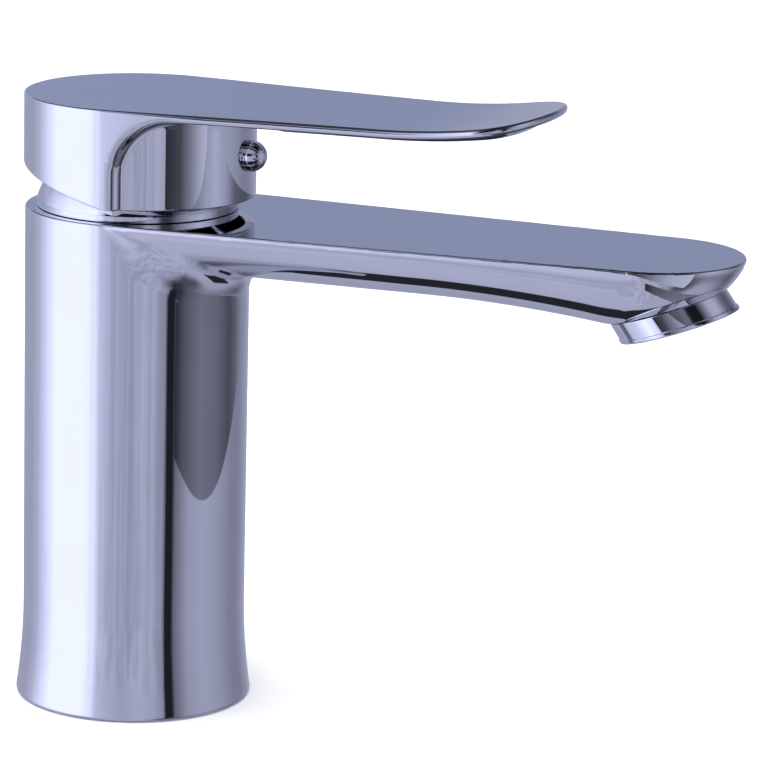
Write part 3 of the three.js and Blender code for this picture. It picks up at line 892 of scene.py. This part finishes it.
def make_cells():
    """The tree's result as a plain mesh, moved into the mouth."""
    holder = bpy.data.objects.new("honeycomb_maker", bpy.data.meshes.new("empty"))
    bpy.context.scene.collection.objects.link(holder)
    modifier = holder.modifiers.new("honeycomb", "NODES")
    group = honeycomb_tree(white_plastic)
    modifier.node_group = group
    for item in group.interface.items_tree:
        if item.in_out == "INPUT":
            modifier[item.identifier] = CELL_SIZES[item.name]
    bpy.context.view_layer.update()
    ready = holder.evaluated_get(bpy.context.evaluated_depsgraph_get())
    mesh = bpy.data.meshes.new_from_object(ready)
    bpy.data.objects.remove(holder)
    mesh.transform(MOUTH_PLACE @ Matrix.Translation((0, 0, CELLS_UP)))
    mesh.name = "aerator_cells"
    cells = bpy.data.objects.new("aerator_cells", mesh)
    bpy.context.scene.collection.objects.link(cells)
    print("aerator_cells", len(mesh.polygons), "faces")
    return cells


aerator_cells = make_cells()
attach(aerator_cells, "base")
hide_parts("aerator_insert")

# %% [markdown]
# ## The studio
# The room the chrome mirrors, as the colour of the world in each direction. It is built from
# rings, one for each height above or below the horizon. A ring is a colour ramp round the compass,
# counted from the camera's side, and its stops are the things that stand there: a big softbox at
# the left, the dark room behind the camera, a grey screen at the right, and the pale table below.
# The camera itself sees plain white behind the tap. Lamps alone could light the tap as well, but a
# mirror shows the whole room, and a world of rings gives each direction its own brightness.

# %% Rings of the studio
ROOM_TINT = (0.92, 0.96, 1.33)
DISPLAY_GAMMA = 2.2


def tone(level):
    """A display grey from 0 to 255 as a linear colour, a little blue."""
    share = (level / 255) ** DISPLAY_GAMMA
    return tuple(share * part for part in ROOM_TINT) + (1,)


# Each stop is an azimuth in degrees, counted from the camera's side, and the grey there.
HORIZON = [(-160, 150), (-131, 154), (-117, 172), (-104, 210), (-88, 250), (-50, 250), (-39, 226),
           (-34, 188), (-27, 174), (-8, 157), (8, 165), (24, 157), (33, 134), (35, 36), (42, 34),
           (45, 100), (60, 148), (78, 157), (98, 147), (122, 124), (136, 124), (151, 140), (165, 152)]
# Height above the horizon in degrees, and the stops of the ring there.
RINGS = [
    (-80, [(-180, 160), (-60, 168), (60, 160), (180, 160)]),
    (-52, [(-180, 150), (-130, 165), (-60, 170), (0, 165), (25, 150), (38, 75), (60, 80), (80, 150),
           (130, 150), (180, 150)]),
    (-32, [(-180, 145), (-140, 150), (-115, 180), (-60, 210), (-38, 165), (8, 161), (22, 138),
           (33, 50), (42, 55), (55, 90), (72, 122), (100, 118), (132, 88), (160, 125), (180, 145)]),
    (-19, HORIZON),
    (2, HORIZON),
    (9, [(-178, 136), (-160, 162), (-127, 170), (-105, 222), (-82, 252), (-48, 252), (-40, 200),
         (-36, 28), (-9, 26), (-4, 80), (6, 110), (14, 165), (24, 148), (30, 62), (40, 60),
         (54, 130), (66, 160), (78, 178), (92, 158), (108, 96), (130, 84), (150, 120), (172, 136)]),
    (16, [(-178, 136), (-160, 155), (-127, 170), (-105, 222), (-82, 252), (-48, 252), (-40, 180),
          (-36, 26), (-9, 26), (-4, 80), (6, 90), (14, 140), (24, 120), (30, 50), (40, 50),
          (54, 130), (66, 160), (78, 170), (92, 150), (108, 96), (130, 84), (150, 120), (172, 136)]),
    (28, [(-178, 50), (-120, 120), (-92, 238), (-46, 252), (-38, 180), (-34, 26), (12, 26),
          (17, 90), (22, 30), (44, 30), (56, 110), (72, 172), (90, 172), (112, 110), (132, 72),
          (165, 50)]),
    (60, [(-178, 40), (-100, 80), (-40, 60), (0, 40), (60, 60), (130, 50), (170, 40)]),
    (85, [(-180, 36), (0, 36), (180, 36)]),
]


def bearings(tree, direction):
    """x, y, z of a direction turned to the camera's side, its angle, and that angle from 0 to 1."""
    facing = tree.node("ShaderNodeVectorRotate", settings={"rotation_type": "Z_AXIS"},
                       Vector=direction, Angle=math.radians(90 - CAMERA_AZIMUTH))
    parts = tree.node("ShaderNodeSeparateXYZ", Vector=facing).node.outputs
    turn = tree.math("ARCTAN2", parts[1], parts[0])
    compass = tree.math("MULTIPLY_ADD", turn, 1 / (2 * math.pi), 0.5)
    return parts, turn, compass


def ring_ramp(tree, compass, stops):
    """The colour of a ring at this turn of the compass."""
    output = tree.node("ShaderNodeValToRGB", Fac=compass)
    ramp = output.node.color_ramp
    while len(ramp.elements) > 1:
        ramp.elements.remove(ramp.elements[-1])
    for i, (azimuth, level) in enumerate(stops):
        position = (azimuth + 180) / 360
        element = ramp.elements[0] if i == 0 else ramp.elements.new(position)
        element.position = position
        element.color = tone(level)
    return output


print("studio of", len(RINGS), "rings,", sum(len(stops) for _, stops in RINGS), "stops")


# %% [markdown]
# ### What the rings can't say
# Three things are laid over the rings. Long soft streaks, a few degrees wide and tens of degrees
# tall, hang in front below the horizon, like folds in a cloth. A dark band lies on the floor behind
# the tap, the gap between table and backdrop. And the backdrop is colder above the horizon, which
# the level tops show.

# %% Streaks, gap and cold backdrop
# A pair is where a soft edge starts and where it ends.
FRONT_STREAKS = 0.49
STREAK_WIDTH = (0.14, 0.08)
STREAK_RISE = (-4, -9)
RIPPLE = (-0.15, 0.15)
STREAK_SCALE = (7.0, 0.09)
STREAK_SWAY = 0.03
STREAK_TONES = (0.84, 1.1)
GAP_BACK = 0.44
GAP_SIDE = 0.03
GAP_DEPTH = (0.27, 0.22)
GAP_WIDTH = (0.52, 0.42)
GAP_TONE = 40
COLD_RISE = (3, 9)
COLD_BACK = (-0.3, -0.8)
COLD = (0.92, 1.02, 1.10, 1)


def streak_ripple(tree, turn, rise):
    """Noise about zero, narrow along the horizon and tall above and below it."""
    spots = tree.node("ShaderNodeCombineXYZ", X=tree.math("MULTIPLY", turn, STREAK_SCALE[0]),
                      Y=tree.math("MULTIPLY", rise, STREAK_SCALE[1]))
    return tree.math("SUBTRACT", tree.noise(spots, 1.0, 3), 0.5)


def streak_field(tree, compass, rise):
    """1 in front, below the horizon, where the streaks are."""
    front = tree.math("ABSOLUTE", tree.math("SUBTRACT", compass, FRONT_STREAKS))
    return tree.math("MULTIPLY", tree.spread(front, *STREAK_WIDTH), tree.spread(rise, *STREAK_RISE))


def floor_gap(tree, parts):
    """1 on the dark band, which is placed by where a ray that goes down meets the floor."""
    down = tree.math("MAXIMUM", tree.math("MULTIPLY", parts[2], -1), 0.05)
    back = tree.math("DIVIDE", parts[0], down)
    side = tree.math("DIVIDE", parts[1], down)
    band = tree.math("ABSOLUTE", tree.math("ADD", back, GAP_BACK))
    reach = tree.math("ABSOLUTE", tree.math("SUBTRACT", side, GAP_SIDE))
    return tree.math("MULTIPLY", tree.spread(band, *GAP_DEPTH), tree.spread(reach, *GAP_WIDTH))


# %% The world
ROOM_STRENGTH = 1.26


def make_world():
    """The rings with streaks, gap and cold backdrop for reflections and light, white for the camera."""
    world = bpy.data.worlds.new("studio")
    bpy.context.scene.world = world
    tree = shading(world)
    parts, turn, compass = bearings(tree, tree.node("ShaderNodeTexCoord", 0))
    rise = tree.math("MULTIPLY", tree.math("ARCSINE", parts[2]), 180 / math.pi)
    ripple = streak_ripple(tree, turn, rise)
    streaky = streak_field(tree, compass, rise)
    sway = tree.math("MULTIPLY", tree.math("MULTIPLY", ripple, streaky), STREAK_SWAY)
    compass = tree.math("ADD", compass, sway)
    color = ring_ramp(tree, compass, RINGS[0][1])
    for (low, _), (high, stops) in zip(RINGS, RINGS[1:]):
        color = tree.mix(tree.spread(rise, low, high), color, ring_ramp(tree, compass, stops))
    color = tree.mix(floor_gap(tree, parts), color, tone(GAP_TONE))
    color = tree.times(streaky, color, tree.spread(ripple, *RIPPLE, *STREAK_TONES))
    back = tree.spread(parts[0], *COLD_BACK)
    behind = tree.math("MULTIPLY", tree.spread(rise, *COLD_RISE), back)
    color = tree.times(behind, color, COLD)
    seen = tree.node("ShaderNodeLightPath", 0)
    color = tree.mix(seen, color, (1, 1, 1, 1))
    background = tree.tree.nodes["Background"]
    tree.tree.links.new(color, background.inputs["Color"])
    unseen = tree.math("SUBTRACT", 1.0, seen)
    strength = tree.math("MULTIPLY_ADD", unseen, ROOM_STRENGTH - 1, 1.0)
    tree.tree.links.new(strength, background.inputs["Strength"])
    print("world", world.name, "of", len(tree.tree.nodes), "nodes")


make_world()

# %% [markdown]
# ### Dark cards
# Two dark cards stand close by at the right, bent round the tap. A card this near is seen only
# from some heights, so it draws a dark window with a round lower end on the column, and leaves
# the foot bright. The camera and the light don't see them, only reflections do.

# %% Cards
CARD_R = 0.15
TONGUE_AT = 74.0
TONGUE_END = 0.014
TONGUE_BOW = 0.010
TONGUE_SPAN = 30
LOW_CARD_TOP = 0.066
HIGH_CARD_BOTTOM = 0.081
HIGH_CARD_TOP = 0.110


def card_paint(name, stops):
    """A paint that glows in the stops' greys, so that no lamp changes them."""
    material = bpy.data.materials.new(name)
    tree = shading(material)
    parts, turn, compass = bearings(tree, tree.node("ShaderNodeTexCoord", 3))
    color = ring_ramp(tree, compass, stops)
    glow = tree.node("ShaderNodeEmission", Color=color, Strength=ROOM_STRENGTH)
    tree.tree.links.new(glow, tree.tree.nodes["Material Output"].inputs["Surface"])
    return material


def dark_card(name, stops, top, bottom):
    """A bent card between the first and last stop's azimuth. bottom gives its lower edge."""
    STEPS = 60
    points = []
    for i in range(STEPS + 1):
        azimuth = stops[0][0] + (stops[-1][0] - stops[0][0]) * i / STEPS
        angle = math.radians(azimuth + CAMERA_AZIMUTH - 90)
        for z in (bottom(azimuth), top):
            points.append((CARD_R * math.cos(angle), CARD_R * math.sin(angle), z))
    faces = [(2 * i, 2 * i + 2, 2 * i + 3, 2 * i + 1) for i in range(STEPS)]
    mesh = bpy.data.meshes.new(name)
    mesh.from_pydata(points, [], faces)
    card = bpy.data.objects.new(name, mesh)
    bpy.context.scene.collection.objects.link(card)
    mesh.materials.append(card_paint(name + "_paint", stops))
    card.visible_camera = False
    card.visible_diffuse = False
    card.visible_shadow = False
    print(name, "from", stops[0][0], "to", stops[-1][0], "degrees")


def tongue(azimuth):
    """Height of the low card's lower edge, which bows down round the middle."""
    return TONGUE_END + TONGUE_BOW * ((azimuth - TONGUE_AT) / TONGUE_SPAN) ** 2


LOW_STOPS = [(40, 45), (44, 62), (48, 80), (67, 110), (86, 101), (106, 74), (116, 92), (127, 120)]
HIGH_STOPS = [(19, 50), (24, 56), (34, 70), (45, 122), (56, 165), (62, 176)]
dark_card("low_card", LOW_STOPS, LOW_CARD_TOP, tongue)
dark_card("high_card", HIGH_STOPS, HIGH_CARD_TOP, lambda azimuth: HIGH_CARD_BOTTOM)

# %% [markdown]
# ### Floor and soft light
# The pale floor is a large plane just under the foot. The chrome doesn't reflect it, because the
# world already has a table of its own in that direction. Two wide area lamps, one overhead and one
# in front, give the floor its soft shadow and light the plastic and rubber. Reflections skip them.

# %% Floor and soft light
def make_floor():
    SIDE = 4.0
    UNDER_FOOT = -0.0002
    points = [(-SIDE, -SIDE, 0), (SIDE, -SIDE, 0), (SIDE, SIDE, 0), (-SIDE, SIDE, 0)]
    mesh = bpy.data.meshes.new("floor")
    mesh.from_pydata(points, [], [(0, 1, 2, 3)])
    floor = bpy.data.objects.new("floor", mesh)
    bpy.context.scene.collection.objects.link(floor)
    material, _, shader, _ = finish("pale_floor")
    sockets(shader, Base_Color=(0.9, 0.9, 0.91, 1), Roughness=0.8)
    floor.data.materials.append(material)
    floor.visible_glossy = False
    floor.location.z = UNDER_FOOT
    print("floor", 2 * SIDE, "m wide")


def soft_light(name, place, target, side, watts):
    """A square lamp that faces the target."""
    data = bpy.data.lights.new(name, "AREA")
    data.size = side
    data.energy = watts
    lamp = bpy.data.objects.new(name, data)
    aim = (Vector(target) - Vector(place)).to_track_quat("-Z", "Y").to_matrix().to_4x4()
    lamp.matrix_world = Matrix.Translation(place) @ aim
    lamp.visible_glossy = False
    bpy.context.scene.collection.objects.link(lamp)
    print(name, watts, "W")


make_floor()
soft_light("overhead_light", (0.0, 0.0, 2.4), (0, 0, 0), 3.0, 120)
soft_light("front_light", (0.6, -1.8, 1.4), (0.05, 0, 0.05), 1.6, 30)
